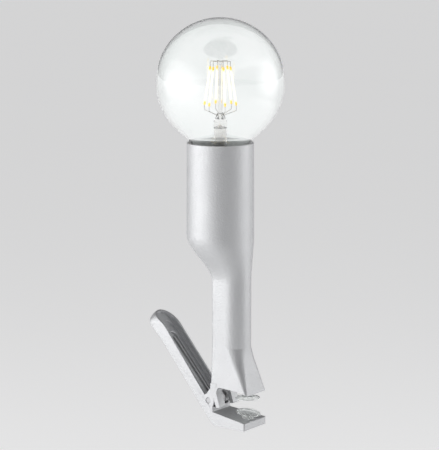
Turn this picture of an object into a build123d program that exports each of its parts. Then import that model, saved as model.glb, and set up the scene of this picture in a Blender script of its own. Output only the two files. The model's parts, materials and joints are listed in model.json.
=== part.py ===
from build123d import *
import math
import os

# A clip-on reading lamp: a cast body that is a lampholder tube above and a fixed jaw below,
# a cranked lever that is the moving jaw and the squeeze handle, and a bare globe bulb.
# Lengths are millimetres. While it is built, X = 0 is the tube's axis, Z = 0 is the hinge
# pin's height, +X is the side that the jaws open to and Y is along the hinge pin. Each piece
# is moved as it is written, so that the origin is the middle of the grip between the pads.

GRIP_X = 24.5
GRIP_Z = -2.0

# Body
TUBE_RADIUS = 25.0
RIM_RADIUS = 24.75
RIM_Z = 192.6
SHOULDER_TOP_Z = 124.4
SHOULDER_END_Z = 90.5
FLARE_TOP_Z = 41.3
LIP_Z = 7.5
CEILING_Z = 10.5
LIP_X = 32.5
SIDE_HALF = 13.2
# front x, rear x, front half width, rear half width, front corner radius, rear corner radius
TUBE_SECTION = (25.0, -25.0, 25.0, 25.0, 24.9, 24.9)
NECK_SECTION = (25.0, 0.3, 12.5, 12.4, 12.3, 2.0)
JAW_SECTION = (LIP_X, -0.1, 13.25, 13.2, 1.4, 1.0)

# Inside of the tube
BORE_RADIUS = 23.3
CHAMBER_RADIUS = 19.0
CHAMBER_Z = 120.0
LEDGE_Z = 138.0
PLATE_THICKNESS = 2.0
SCREW_CIRCLE = 21.1
INLET_Z = 129.0
INLET_HOLE = 4.3
INLET_BORE = 3.2

# Hinge
PIN_X = -3.2
PIN_RADIUS = 2.2
BUSH_CLEARANCE = 0.05
BUSH_RADIUS = 3.2
LUG_RADIUS = 5.0
EAR_RADIUS = 5.4
EAR_RECESS = 6.0
SLOT_HALF = 5.2
LUG_HALF = 9.4
EAR_INNER = 9.6
EAR_OUTER = 11.4
WEB_HOLLOW = 6.35

# Lever
HANDLE_ANGLE = 38.3
HANDLE_TIP = 81.0
HANDLE_TIP_HALF = 9.8
LEVER_WALL = 1.8
JAW_FRONT_X = 31.3
JAW_FRONT_HALF = 14.75
JAW_TOP_REAR = (1.0, -8.2)
JAW_TOP_FRONT = (JAW_FRONT_X, -12.7)
JAW_BOTTOM_Z = -18.4

# Pads
PAD_RIM = 9.2
PAD_BASE = 4.6
PAD_WAIST = 3.3
PAD_STEM = 1.5
STEM_LENGTH = 3.0
PAD_SEAT_Z = 10.35
UPPER_PAD_HEIGHT = 7.0
LOWER_PAD_HEIGHT = 4.5

# Spring
WIRE_RADIUS = 0.65
COIL_RADIUS = 4.9
COIL_PITCH = 1.8
COIL_TURNS = 4
LEVER_LEG = 57.0
LEG_END_Y = 2.2

# Bulb
BULB_Z = 236.7
BULB_RADIUS = 47.5
GLASS = 0.9
NECK_BLEND = 22.0
CAP_TIP_Z = 146.2
THREAD_PITCH = 3.629
CAP_CREST = 13.1
CAP_ROOT = 12.4
FILAMENTS = 6
FILAMENT_LOW = (12.0, 220.0)
FILAMENT_HIGH = (7.5, 248.5)
FILAMENT_TURN = 21.0
BEAD_RADIUS = 0.8
STAR_Z = 252.3
LEAD_Z = 216.4
STEM_TOP_Z = 213.5


def smooth(t):
    """A step from 0 to 1 with level ends."""
    return t * t * (3.0 - 2.0 * t)


def mix(a, b, t):
    return a + (b - a) * t


def rounded_polygon(corners):
    """A flat face from corners (x, y, radius); a radius of 0 leaves the corner sharp."""
    face = make_face(Polyline(*[(x, y) for x, y, _ in corners], close=True))
    for x, y, radius in corners:
        if radius > 0:
            face = fillet(face.vertices().sort_by_distance((x, y, 0))[0], radius)
    return face


def side_solid(corners, low, high):
    """A solid whose outline lies in the XZ plane, from y = low to y = high."""
    face = Plane(origin=(0, low, 0), x_dir=(1, 0, 0), z_dir=(0, -1, 0)) * rounded_polygon(corners)
    return extrude(face, amount=-(high - low))


def body_section(z, values):
    """One level section of the body, a rectangle or wedge with rounded corners."""
    front, rear, front_half, rear_half, front_radius, rear_radius = values
    corners = [(rear, -rear_half, rear_radius), (front, -front_half, front_radius),
               (front, front_half, front_radius), (rear, rear_half, rear_radius)]
    return Pos(0, 0, z) * rounded_polygon(corners)


def body_loft(top, end, top_z, end_z, steps, shape, radius_shape):
    """A loft between two sections; shape eases the sizes and radius_shape the corners."""
    sections = []
    for i in range(steps + 1):
        t = i / steps
        values = [mix(a, b, shape(t)) for a, b in zip(top[:4], end[:4])]
        values += [mix(a, b, radius_shape(t)) for a, b in zip(top[4:], end[4:])]
        sections.append(body_section(mix(top_z, end_z, t), values))
    return loft(sections)


def flare_ease(t):
    """Linear after a short soft start."""
    soft = 0.36
    rise = t * t / (2 * soft) if t < soft else t - soft / 2
    return rise / (1 - soft / 2)


def rod(start, end, radius):
    """A round bar from one point to another."""
    run = Vector(*end) - Vector(*start)
    return extrude(Plane(origin=start, z_dir=run) * Circle(radius), amount=run.length)


def tube(outer, inner, low, high):
    """An upright tube on the tube's axis."""
    ring = Circle(outer) - Circle(inner)
    return extrude(Pos(0, 0, low) * ring, amount=high - low)


def disc(radius, low, high, x=0.0, y=0.0):
    """An upright cylinder."""
    return extrude(Pos(x, y, low) * Circle(radius), amount=high - low)


def cross_pin(radius, low, high, x=PIN_X, z=0.0):
    """A cylinder along Y."""
    return rod((x, low, z), (x, high, z), radius)


def both_sides(solid):
    """The solid and its mirror image across the middle plane."""
    return solid + mirror(solid, Plane.XZ)


def lathe(points):
    """A solid turned about the tube's axis from corners (radius, z)."""
    face = make_face(Polyline(*points, close=True))
    return revolve(Plane.XZ * face, Axis.Z)


def save(name, shape):
    export_step(Pos(-GRIP_X, 0, -GRIP_Z) * shape, os.path.join("parts", name + ".step"))


def body_shell():
    """The tube, the shoulder that is cut away at the back, the neck and the flared jaw."""
    barrel = extrude(Pos(0, 0, SHOULDER_TOP_Z) * Circle(TUBE_RADIUS), amount=RIM_Z - SHOULDER_TOP_Z,
                     taper=math.degrees(math.atan((TUBE_RADIUS - RIM_RADIUS) / (RIM_Z - SHOULDER_TOP_Z))))
    shoulder = body_loft(TUBE_SECTION, NECK_SECTION, SHOULDER_TOP_Z, SHOULDER_END_Z, 10, smooth, smooth)
    neck = extrude(body_section(FLARE_TOP_Z, NECK_SECTION), amount=SHOULDER_END_Z - FLARE_TOP_Z)
    flare = body_loft(NECK_SECTION, JAW_SECTION, FLARE_TOP_Z, LIP_Z - 1.0, 6, flare_ease,
                      lambda t: t ** 0.8)
    return barrel + shoulder + neck + flare


def body_ears():
    """Two ears: each is a lug round the hinge pin and a slanted finger in front of it."""
    finger = [(-0.1, 14.0, 0), (-0.1, 10.2, 0), (-5.6, 2.75, 0), (PIN_X, -2.0, 0), (1.0, -1.0, 0),
              (2.4, 3.3, 0), (5.3, -4.2, 0.6), (8.3, -3.9, 0.6), (5.1, 7.2, 0), (5.1, 14.0, 0)]
    ear = side_solid(finger, SLOT_HALF, SIDE_HALF)
    ear += cross_pin(LUG_RADIUS, SLOT_HALF, SIDE_HALF)
    behind = [(PIN_X, 0.0, 0), (PIN_X, EAR_RECESS, 0), (-14.0, EAR_RECESS, 0), (-14.0, -10.0, 0),
              (3.6, -10.0, 0), (5.3, -4.3, 0), (2.4, 3.3, 0)]
    recess = side_solid(behind, LUG_HALF, SIDE_HALF + 1)
    recess += cross_pin(EAR_RECESS, LUG_HALF, SIDE_HALF + 1)
    return both_sides(ear - recess)


def under_jaw():
    """The space under the fixed jaw, with the arch behind it and the lip in front."""
    outline = [(8.3, -12.0, 0), (8.3, -3.9, 0), (5.1, 7.2, 0), (6.0, 11.6, 3.2), (17.8, 10.7, 0),
               (26.0, 10.3, 9.0), (LIP_X + 0.3, LIP_Z, 0), (LIP_X + 8, LIP_Z - 2, 0), (LIP_X + 8, -12.0, 0)]
    return side_solid(outline, -SIDE_HALF - 8, SIDE_HALF + 8)


def cord_bore():
    """The hole for the inlet bush and the flat that its flange sits on."""
    hole = rod((-TUBE_RADIUS - 1, 0, INLET_Z), (-CHAMBER_RADIUS + 1, 0, INLET_Z), INLET_HOLE)
    flat = rod((-TUBE_RADIUS - 1, 0, INLET_Z), (-24.2, 0, INLET_Z), INLET_HOLE + 1.0)
    return hole + flat


def make_body():
    body = body_shell() - under_jaw()
    body += body_ears()
    body -= side_solid([(-8.0, -6.0, 0), (8.5, -6.0, 0), (8.5, CEILING_Z, 0), (-8.0, CEILING_Z, 0)],
                       -SLOT_HALF, SLOT_HALF)
    body -= cross_pin(BUSH_RADIUS, -LUG_HALF - 1, LUG_HALF + 1)
    body -= disc(BORE_RADIUS, LEDGE_Z, RIM_Z + 1)
    body -= disc(CHAMBER_RADIUS, CHAMBER_Z, LEDGE_Z + 1)
    body -= cord_bore()
    for angle in (0, 90, 270):
        x, y = plate_point(angle)
        body -= disc(1.2, LEDGE_Z - 7.0, LEDGE_Z + 1, x, y)
    body -= disc(PAD_BASE + 0.3, 5.0, PAD_SEAT_Z, GRIP_X)
    body -= disc(PAD_STEM, CEILING_Z - 1, PAD_SEAT_Z + STEM_LENGTH, GRIP_X)
    return body - rim_chamfers()


def rim_chamfers():
    """The small bevels inside and outside the tube's rim."""
    over = RIM_Z + 0.1
    inner = lathe([(BORE_RADIUS - 0.5, over), (BORE_RADIUS + 0.6, over), (BORE_RADIUS - 0.5, over - 1.1)])
    outer = lathe([(RIM_RADIUS + 0.5, over), (RIM_RADIUS + 0.5, over - 0.9), (RIM_RADIUS - 0.4, over)])
    return inner + outer


def plate_point(angle):
    """A screw's place on the holder plate."""
    turn = math.radians(angle)
    return SCREW_CIRCLE * math.cos(turn), SCREW_CIRCLE * math.sin(turn)


def handle_plane():
    """Origin at the hinge pin, local x up the handle, local z out of its open side."""
    lean = math.radians(HANDLE_ANGLE)
    return Plane(origin=(PIN_X, 0, 0), x_dir=(-math.sin(lean), 0, math.cos(lean)),
                 z_dir=(math.cos(lean), 0, math.sin(lean)))


def handle_half(up):
    """Half the lever's width at a distance up the handle from the pin."""
    return mix(EAR_OUTER, HANDLE_TIP_HALF, up / HANDLE_TIP)


def handle_prism(inset, start, end):
    """The handle's plan, inset from its edge, as a bar along its open direction."""
    low = handle_half(start) - inset
    high = handle_half(end) - inset
    plan = rounded_polygon([(start, -low, 0), (end, -high, high - 0.1), (end, high, high - 0.1),
                            (start, low, 0)])
    return extrude(handle_plane() * plan, amount=60, both=True)


def back_line(depth):
    """The handle's back, moved towards its open side by depth."""
    lean = math.radians(HANDLE_ANGLE)
    dx = depth * math.cos(lean)
    dz = depth * math.sin(lean)
    return [(1.5 + dx, JAW_BOTTOM_Z + dz), (-47.0 + dx, 41.8 + dz), (-59.6 + dx, 54.4 + dz)]


def handle_pocket(inset, floor, start, end):
    """A pocket that follows the handle's curve at a height above its back."""
    heel, bend, tip = back_line(floor)
    space = side_solid([(*heel, 0), (*bend, 22.0), (*tip, 0), (-80.0, 74.0, 0), (-40.0, 100.0, 0),
                        (40.0, 40.0, 0)], -20, 20)
    return space & handle_prism(inset, start, end)


def lever_side():
    """The cranked outline of the whole lever, seen along the pin."""
    heel, bend, tip = back_line(0.0)
    outline = [(JAW_FRONT_X, JAW_BOTTOM_Z, 0.8), (*heel, 8.0), (*bend, 25.0), (*tip, 3.0),
               (-57.6, 62.0, 1.2), (-44.5, 52.6, 18.0), (-6.5, 3.9, 0), (PIN_X, 0.0, 0),
               (0.7, 0.0, 0), (*JAW_TOP_REAR, 0), (*JAW_TOP_FRONT, 0.5)]
    return side_solid(outline, -20, 20) + cross_pin(EAR_RADIUS, -20, 20)


def jaw_plan():
    """The moving jaw's plan, wider at its front."""
    outline = [(PIN_X - 6, -EAR_OUTER + 0.5, 0), (JAW_FRONT_X, -JAW_FRONT_HALF, 1.2),
               (JAW_FRONT_X, JAW_FRONT_HALF, 1.2), (PIN_X - 6, EAR_OUTER - 0.5, 0)]
    return extrude(Pos(0, 0, -30) * rounded_polygon(outline), amount=60)


def jaw_tilt():
    """The slope of the moving jaw's top, in degrees down towards the front."""
    return math.degrees(math.atan2(JAW_TOP_REAR[1] - JAW_TOP_FRONT[1], JAW_TOP_FRONT[0] - JAW_TOP_REAR[0]))


def jaw_top(x):
    """Height of the moving jaw's top."""
    t = (x - JAW_TOP_REAR[0]) / (JAW_TOP_FRONT[0] - JAW_TOP_REAR[0])
    return mix(JAW_TOP_REAR[1], JAW_TOP_FRONT[1], t)


def lower_pad_place():
    """The lower pad's base on the moving jaw's sloping top."""
    return Pos(GRIP_X, 0, jaw_top(GRIP_X)) * Rot(Y=jaw_tilt())


def make_lever():
    lever = lever_side() & (handle_prism(0.0, -30.0, HANDLE_TIP) + jaw_plan())
    lever -= handle_pocket(LEVER_WALL, 5.6, -1.0, HANDLE_TIP - LEVER_WALL)
    lever -= handle_pocket(LEVER_WALL + 1.6, 3.7, -1.0, HANDLE_TIP - 10.5)
    lever -= handle_pocket(LEVER_WALL + 4.0, 1.9, -1.0, HANDLE_TIP - 19.5)
    lever -= cross_pin(WEB_HOLLOW, -EAR_INNER, EAR_INNER)
    lever -= cross_pin(PIN_RADIUS, -EAR_OUTER - 2, EAR_OUTER + 2)
    return lever - lower_pad_place() * disc(PAD_STEM, -STEM_LENGTH, 1.0)


def make_pad(height):
    """A soft cup on a waisted foot, its base at z = 0, with a stem below that plugs into a hole."""
    profile = [(0, -STEM_LENGTH), (PAD_STEM, -STEM_LENGTH), (PAD_STEM, 0), (PAD_BASE, 0), (PAD_BASE, 1.0),
               (PAD_WAIST, 1.5), (PAD_WAIST, height - 2.3), (PAD_RIM - 1.6, height - 0.9),
               (PAD_RIM, height - 0.5), (PAD_RIM, height), (PAD_RIM - 0.6, height),
               (PAD_WAIST + 1.0, height - 1.4), (0, height - 1.8)]
    return lathe(profile)


def make_spring():
    """A torsion spring round the pin: one leg up into the body, one along the handle's slot."""
    end_angle = 180.0 - HANDLE_ANGLE
    turns = COIL_TURNS + end_angle / 360.0
    width = COIL_PITCH * turns
    path = Helix(COIL_PITCH, width, COIL_RADIUS)
    section = Plane(origin=path @ 0, z_dir=path % 0) * Circle(WIRE_RADIUS)
    coil = sweep(section, path=path, is_frenet=True)
    coil = Pos(PIN_X, -width / 2, 0) * Rot(X=-90) * coil
    leg_x = PIN_X + COIL_RADIUS
    body_leg = rod((leg_x, -width / 2, -0.3), (leg_x, -width / 2, CEILING_Z - 0.1), WIRE_RADIUS)
    place = handle_plane()
    start = place.from_local_coords((-0.3, -width / 2, -COIL_RADIUS))
    end = place.from_local_coords((LEVER_LEG, -LEG_END_Y, -COIL_RADIUS - 0.6))
    return Compound([coil.solid(), body_leg.solid(), rod(tuple(start), tuple(end), WIRE_RADIUS).solid()])


def glass_profile(inset):
    """The bulb's curve from its top to its neck, as edges with the given inset."""
    radius = BULB_RADIUS - inset
    slope = math.asin(39.0 / BULB_RADIUS)
    end = (radius * math.cos(slope), BULB_Z - radius * math.sin(slope))
    globe = CenterArc((0, BULB_Z), radius, math.degrees(-slope), 90 + math.degrees(slope))
    blend = JernArc(end, (-math.sin(slope), -math.cos(slope)), NECK_BLEND + inset, math.degrees(slope))
    low = blend @ 1
    neck = Polyline((low.X, low.Y), (14.0 - inset, 175.5), (12.2 - inset, 172.5), (12.2 - inset, 170.0))
    return [globe, blend, neck]


def make_glass():
    outer = glass_profile(0.0)
    inner = glass_profile(GLASS)
    crown = Line((0, BULB_Z + BULB_RADIUS), (0, BULB_Z + BULB_RADIUS - GLASS))
    foot = Line((12.2, 170.0), (12.2 - GLASS, 170.0))
    face = make_face(Wire([*outer_edges(outer), *outer_edges(inner), crown.edge(), foot.edge()]))
    return revolve(Plane.XZ * face, Axis.Z)


def outer_edges(curves):
    return [edge for curve in curves for edge in curve.edges()]


def filament_points(index):
    """The low and the high end of one filament."""
    turn = math.radians(FILAMENT_TURN + 360.0 * index / FILAMENTS)
    return [(r * math.cos(turn), r * math.sin(turn), z) for r, z in (FILAMENT_LOW, FILAMENT_HIGH)]


def between(start, end, t):
    return tuple(mix(a, b, t) for a, b in zip(start, end))


def bead(start, end):
    """A short round-edged bead over the end of a strip."""
    plain = rod(start, end, BEAD_RADIUS)
    return fillet(plain.edges().filter_by(GeomType.CIRCLE), BEAD_RADIUS * 0.6)


def bent_wire(start, corner, end):
    """A fine wire in two straight runs, with a ball where it bends."""
    return rod(start, corner, 0.25) + Pos(*corner) * Sphere(0.27) + rod(corner, end, 0.25)


def make_filaments():
    """The lit strips, the metal clips at their ends, the star above and the leads below."""
    strips, ends, star, leads = [], [], [], []
    for i in range(FILAMENTS):
        low, high = filament_points(i)
        strips.append(rod(between(low, high, 0.09), between(low, high, 0.91), 0.6))
        ends.append(bead(low, between(low, high, 0.088)))
        ends.append(bead(between(low, high, 0.912), high))
        star.append(bent_wire((0, 0, STAR_Z), (high[0], high[1], STAR_Z), high))
        foot = (2.2 * low[0] / FILAMENT_LOW[0], 2.2 * low[1] / FILAMENT_LOW[0], STEM_TOP_Z - 1.0)
        leads.append(bent_wire(foot, (low[0], low[1], LEAD_Z), low))
    return [Compound(group) for group in (strips, ends, star, leads)]


def make_stem():
    """The glass foot: a flared tube from the neck, pinched at its top, and the rod above it."""
    profile = [(11.0, 170.2), (11.0, 171.0), (6.0, 178.0), (5.0, 184.0), (5.0, 208.0), (2.6, STEM_TOP_Z),
               (2.0, STEM_TOP_Z + 1.0), (1.9, STAR_Z), (0, STAR_Z), (0, 206.0), (4.1, 203.0),
               (4.1, 184.0), (5.2, 177.5), (10.0, 170.2)]
    return lathe(profile)


def make_cap():
    """The screw cap, with one ridge for each turn of its thread."""
    low, high = CAP_TIP_Z + 5.0, CAP_TIP_Z + 26.4
    outer = [(CAP_ROOT, low)]
    ridges = 4
    for i in range(ridges):
        z = low + 1.4 + i * THREAD_PITCH
        outer += [(CAP_ROOT, z), (CAP_CREST, z + 0.9), (CAP_CREST, z + 1.9), (CAP_ROOT, z + 2.8)]
    outer += [(CAP_ROOT, high - 3.4), (13.0, high - 2.6), (13.0, high)]
    inner = [(12.6, high), (12.6, high - 2.8), (CAP_ROOT - 0.5, high - 3.6), (CAP_ROOT - 0.5, low)]
    return lathe(outer + inner)


def make_driver():
    """The round board in the cap with two parts on it."""
    board = disc(9.0, CAP_TIP_Z + 9.0, CAP_TIP_Z + 10.2)
    part = disc(2.6, CAP_TIP_Z + 10.2, CAP_TIP_Z + 17.0, 3.5, 0.0)
    chip = Pos(-4.0, 0, CAP_TIP_Z + 11.2) * Box(4.0, 5.0, 2.0)
    return board + part + chip


def make_plate():
    """The steel plate that stands on the ledge and carries the lampholder."""
    plate = disc(BORE_RADIUS - 0.3, LEDGE_Z, LEDGE_Z + PLATE_THICKNESS)
    plate -= disc(5.1, LEDGE_Z - 1, LEDGE_Z + PLATE_THICKNESS + 1)
    for angle in (0, 90, 270):
        x, y = plate_point(angle)
        plate -= disc(1.3, LEDGE_Z - 1, LEDGE_Z + PLATE_THICKNESS + 1, x, y)
    return plate


def plate_screw(angle):
    """A pan-head screw through the plate into the ledge."""
    x, y = plate_point(angle)
    top = LEDGE_Z + PLATE_THICKNESS
    screw = disc(1.9, top, top + 1.4, x, y) + disc(1.2, top - 8.0, top, x, y)
    return screw - Pos(x, y, top + 1.2) * Box(3.0, 0.5, 0.6)


def make_insert():
    """The ceramic puck with a hole for each terminal screw."""
    puck = disc(14.5, LEDGE_Z + 4.5, LEDGE_Z + 7.0)
    for side in (-1, 1):
        puck -= disc(1.6, LEDGE_Z + 4, LEDGE_Z + 8, side * 11.0)
    return puck


def terminal_screw(side):
    low = LEDGE_Z + 4.6
    screw = disc(1.5, low, low + 2.4, side * 11.0) + disc(2.4, low + 2.4, low + 3.6, side * 11.0)
    return screw - Pos(side * 11.0, 0, low + 3.5) * Box(0.5, 3.6, 0.6)


def make_holder():
    """The lampholder's own pieces, by name."""
    base_top = LEDGE_Z + 4.5
    shell = tube(14.0, 13.6, CAP_TIP_Z + 4.4, CAP_TIP_Z + 26.0)
    skirt = lathe([(19.0, base_top), (19.0, 173.5), (19.6, 174.0), (19.6, 176.5), (15.4, 176.5),
                   (15.4, CAP_TIP_Z + 26.2), (14.4, CAP_TIP_Z + 26.2), (14.4, CAP_TIP_Z + 4.6),
                   (15.2, CAP_TIP_Z + 4.2), (15.2, base_top)])
    contact = Pos(0, 0, LEDGE_Z + 7.3) * Box(9.0, 4.0, 0.6) + disc(1.8, LEDGE_Z + 7.5, LEDGE_Z + 7.9)
    leaf = Pos(0, 12.2, LEDGE_Z + 9.6) * Box(4.0, 0.6, 5.2)
    nut = extrude(Pos(0, 0, LEDGE_Z - 3.2) * (RegularPolygon(8.0, 6) - Circle(5.02)), amount=3.1)
    return {
        "holder_base": disc(19.0, LEDGE_Z + 2, base_top) - disc(5.02, LEDGE_Z, base_top + 1),
        "holder_insert": make_insert(),
        "holder_terminal_screws": Compound([terminal_screw(-1), terminal_screw(1)]),
        "holder_screw_shell": shell,
        "holder_skirt": skirt,
        "holder_centre_contact": contact,
        "holder_side_contact": leaf,
        "holder_nipple": tube(5.0, 3.6, LEDGE_Z - 5.0, base_top - 0.1),
        "holder_nut": nut,
        "holder_plate": make_plate(),
        "plate_screws": Compound([plate_screw(90), plate_screw(270)]),
        "earth_screw": plate_screw(0),
    }


def make_inlet():
    """The moulded bush in the back of the tube that the cord would pass through."""
    bush = rod((-26.0, 0, INLET_Z), (-24.2, 0, INLET_Z), INLET_HOLE + 0.95)
    bush += rod((-24.2, 0, INLET_Z), (-CHAMBER_RADIUS - 0.1, 0, INLET_Z), INLET_HOLE)
    return bush - rod((-27.0, 0, INLET_Z), (-CHAMBER_RADIUS + 1, 0, INLET_Z), INLET_BORE)


def make_bushes():
    bush = cross_pin(BUSH_RADIUS, SLOT_HALF, LUG_HALF)
    bush -= cross_pin(PIN_RADIUS + BUSH_CLEARANCE, SLOT_HALF - 1, LUG_HALF + 1)
    return Compound([bush, mirror(bush, Plane.XZ)])


def make_pin():
    pin = cross_pin(PIN_RADIUS, -EAR_OUTER + 0.3, EAR_OUTER - 0.3)
    return chamfer(pin.edges().filter_by(GeomType.CIRCLE), 0.3)


def main():
    os.makedirs("parts", exist_ok=True)
    save("body_casting", make_body())
    save("lever", make_lever())
    save("hinge_pin", make_pin())
    save("hinge_bushes", make_bushes())
    save("torsion_spring", make_spring())
    save("upper_pad", Pos(GRIP_X, 0, PAD_SEAT_Z) * Rot(X=180) * make_pad(UPPER_PAD_HEIGHT))
    save("lower_pad", lower_pad_place() * make_pad(LOWER_PAD_HEIGHT))
    save("cord_inlet_bush", make_inlet())
    for name, shape in make_holder().items():
        save(name, shape)
    strips, ends, star, leads = make_filaments()
    save("bulb_filaments", strips)
    save("bulb_filament_ends", ends)
    save("bulb_support_wires", star)
    save("bulb_lead_wires", leads)
    save("bulb_glass", make_glass())
    save("bulb_stem", make_stem())
    save("bulb_cap", make_cap())
    save("bulb_cap_insulator", lathe([(0, CAP_TIP_Z + 1.6), (5.2, CAP_TIP_Z + 1.6), (11.6, CAP_TIP_Z + 4.6),
                                      (11.6, CAP_TIP_Z + 6.0), (0, CAP_TIP_Z + 6.0)]))
    save("bulb_cap_contact", lathe([(0, CAP_TIP_Z), (3.4, CAP_TIP_Z), (4.8, CAP_TIP_Z + 0.9),
                                    (4.8, CAP_TIP_Z + 1.6), (0, CAP_TIP_Z + 1.6)]))
    save("bulb_driver", make_driver())


main()
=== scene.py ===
"""Looks of a clip-on reading lamp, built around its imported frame.

Lengths are metres, in the frame's own axes: +Z up the tube, +X out of the open end of the jaws
and +Y along the hinge pin. The origin is the middle of the grip between the two pads.
"""

import json
import logging
import math
from dataclasses import dataclass, field
from enum import Enum

import bmesh
import bpy
from mathutils import Matrix, Vector

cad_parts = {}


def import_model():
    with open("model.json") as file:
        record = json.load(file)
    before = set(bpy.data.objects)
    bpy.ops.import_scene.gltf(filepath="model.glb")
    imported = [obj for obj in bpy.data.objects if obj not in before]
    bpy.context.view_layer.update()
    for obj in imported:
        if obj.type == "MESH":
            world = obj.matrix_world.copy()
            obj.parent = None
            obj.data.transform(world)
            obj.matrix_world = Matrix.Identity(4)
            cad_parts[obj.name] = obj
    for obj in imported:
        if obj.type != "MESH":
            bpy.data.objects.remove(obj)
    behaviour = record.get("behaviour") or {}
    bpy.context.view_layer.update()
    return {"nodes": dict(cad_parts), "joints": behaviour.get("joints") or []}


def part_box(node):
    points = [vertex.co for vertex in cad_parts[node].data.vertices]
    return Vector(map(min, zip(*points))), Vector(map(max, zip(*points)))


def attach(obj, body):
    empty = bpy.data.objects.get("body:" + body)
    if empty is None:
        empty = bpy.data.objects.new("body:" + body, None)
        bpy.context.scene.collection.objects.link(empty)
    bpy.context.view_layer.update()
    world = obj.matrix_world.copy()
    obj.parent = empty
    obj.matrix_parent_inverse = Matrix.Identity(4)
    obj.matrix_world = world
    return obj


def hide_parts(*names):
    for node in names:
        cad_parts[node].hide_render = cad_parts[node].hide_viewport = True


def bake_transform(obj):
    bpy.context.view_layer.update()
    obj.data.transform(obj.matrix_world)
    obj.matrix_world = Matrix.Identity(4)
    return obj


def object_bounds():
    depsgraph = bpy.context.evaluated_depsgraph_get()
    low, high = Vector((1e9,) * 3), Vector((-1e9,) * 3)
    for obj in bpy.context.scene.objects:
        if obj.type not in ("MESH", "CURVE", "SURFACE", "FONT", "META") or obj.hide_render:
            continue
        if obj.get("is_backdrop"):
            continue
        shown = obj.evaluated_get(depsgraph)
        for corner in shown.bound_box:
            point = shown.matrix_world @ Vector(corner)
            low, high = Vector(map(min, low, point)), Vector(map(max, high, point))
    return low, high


LOG = logging.getLogger("lamp")
MM = 0.001
# Points nearer than this are the same point.
TOUCH = 1e-6
Colour = tuple[float, float, float]


class Body(Enum):
    """The rigid bodies that a piece can move with."""

    LAMP = "lamp_body"
    LEVER = "lever"
    BULB = "bulb"


class Lay(Enum):
    """The way that a metal's tool marks run, as the stretch of their pattern."""

    ROUND = (0.06, 0.06, 1.0)
    ALONG_Y = (1.0, 0.05, 1.0)


# ---------------------------------------------------------------- materials


class Nodes:
    """Adds and joins the nodes of one material or group."""

    # The Mix node's sockets when it mixes colours.
    MIX_SHARE, MIX_FIRST, MIX_SECOND, MIX_RESULT = 0, 6, 7, 2

    def __init__(self, tree: bpy.types.NodeTree) -> None:
        """Keeps the tree.

        Args:
            tree: the node tree that nodes are added to.
        """
        self.tree = tree

    def add(self, kind: str, values: dict[str | int, object] | None = None,
            **settings: object) -> bpy.types.Node:
        """Adds one node.

        Args:
            kind: the node's type, such as "ShaderNodeTexNoise".
            values: input socket to its constant, or to the output that feeds it.
            settings: the node's own properties.

        Returns:
            The new node.
        """
        node = self.tree.nodes.new(kind)
        for key, value in settings.items():
            setattr(node, key, value)
        for key, value in (values or {}).items():
            if isinstance(value, bpy.types.NodeSocket):
                self.join(value, node.inputs[key])
            else:
                node.inputs[key].default_value = value
        return node

    def join(self, output: bpy.types.NodeSocket, socket: bpy.types.NodeSocket) -> None:
        """Feeds an output to an input.

        Args:
            output: what is read.
            socket: the input that it feeds.
        """
        self.tree.links.new(output, socket)

    def math(self, operation: str, first: object, second: object = 0.5) -> bpy.types.NodeSocket:
        """One arithmetic step.

        Args:
            operation: the Math node's operation.
            first: a number or an output.
            second: a number or an output.

        Returns:
            The result's output.
        """
        return self.add("ShaderNodeMath", {0: first, 1: second}, operation=operation).outputs[0]

    def spread(self, value: bpy.types.NodeSocket, low: float, high: float, start: float = 0.0,
               end: float = 1.0) -> bpy.types.NodeSocket:
        """Maps start..end onto low..high, held at both ends.

        Args:
            value: the output to map.
            low: result at start.
            high: result at end.
            start: lowest value read.
            end: highest value read.

        Returns:
            The mapped output.
        """
        node = self.add("ShaderNodeMapRange", {"Value": value, "From Min": start, "From Max": end,
                                               "To Min": low, "To Max": high})
        return node.outputs["Result"]

    def blend(self, share: bpy.types.NodeSocket, first: object, second: object) -> bpy.types.NodeSocket:
        """Mixes two colours.

        Args:
            share: how much of the second shows.
            first: a colour or an output.
            second: a colour or an output.

        Returns:
            The mixed colour's output.
        """
        node = self.add("ShaderNodeMix", data_type="RGBA")
        self.join(share, node.inputs[self.MIX_SHARE])
        for slot, value in ((self.MIX_FIRST, first), (self.MIX_SECOND, second)):
            if isinstance(value, bpy.types.NodeSocket):
                self.join(value, node.inputs[slot])
            else:
                node.inputs[slot].default_value = (*value, 1.0)
        return node.outputs[self.MIX_RESULT]

    def place(self, scale: tuple[float, float, float] = (1.0, 1.0, 1.0)) -> bpy.types.NodeSocket:
        """Object coordinates, stretched.

        Args:
            scale: the stretch on each axis.

        Returns:
            The vector's output.
        """
        coords = self.add("ShaderNodeTexCoord").outputs["Object"]
        return self.add("ShaderNodeMapping", {"Vector": coords, "Scale": scale}).outputs["Vector"]


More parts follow.
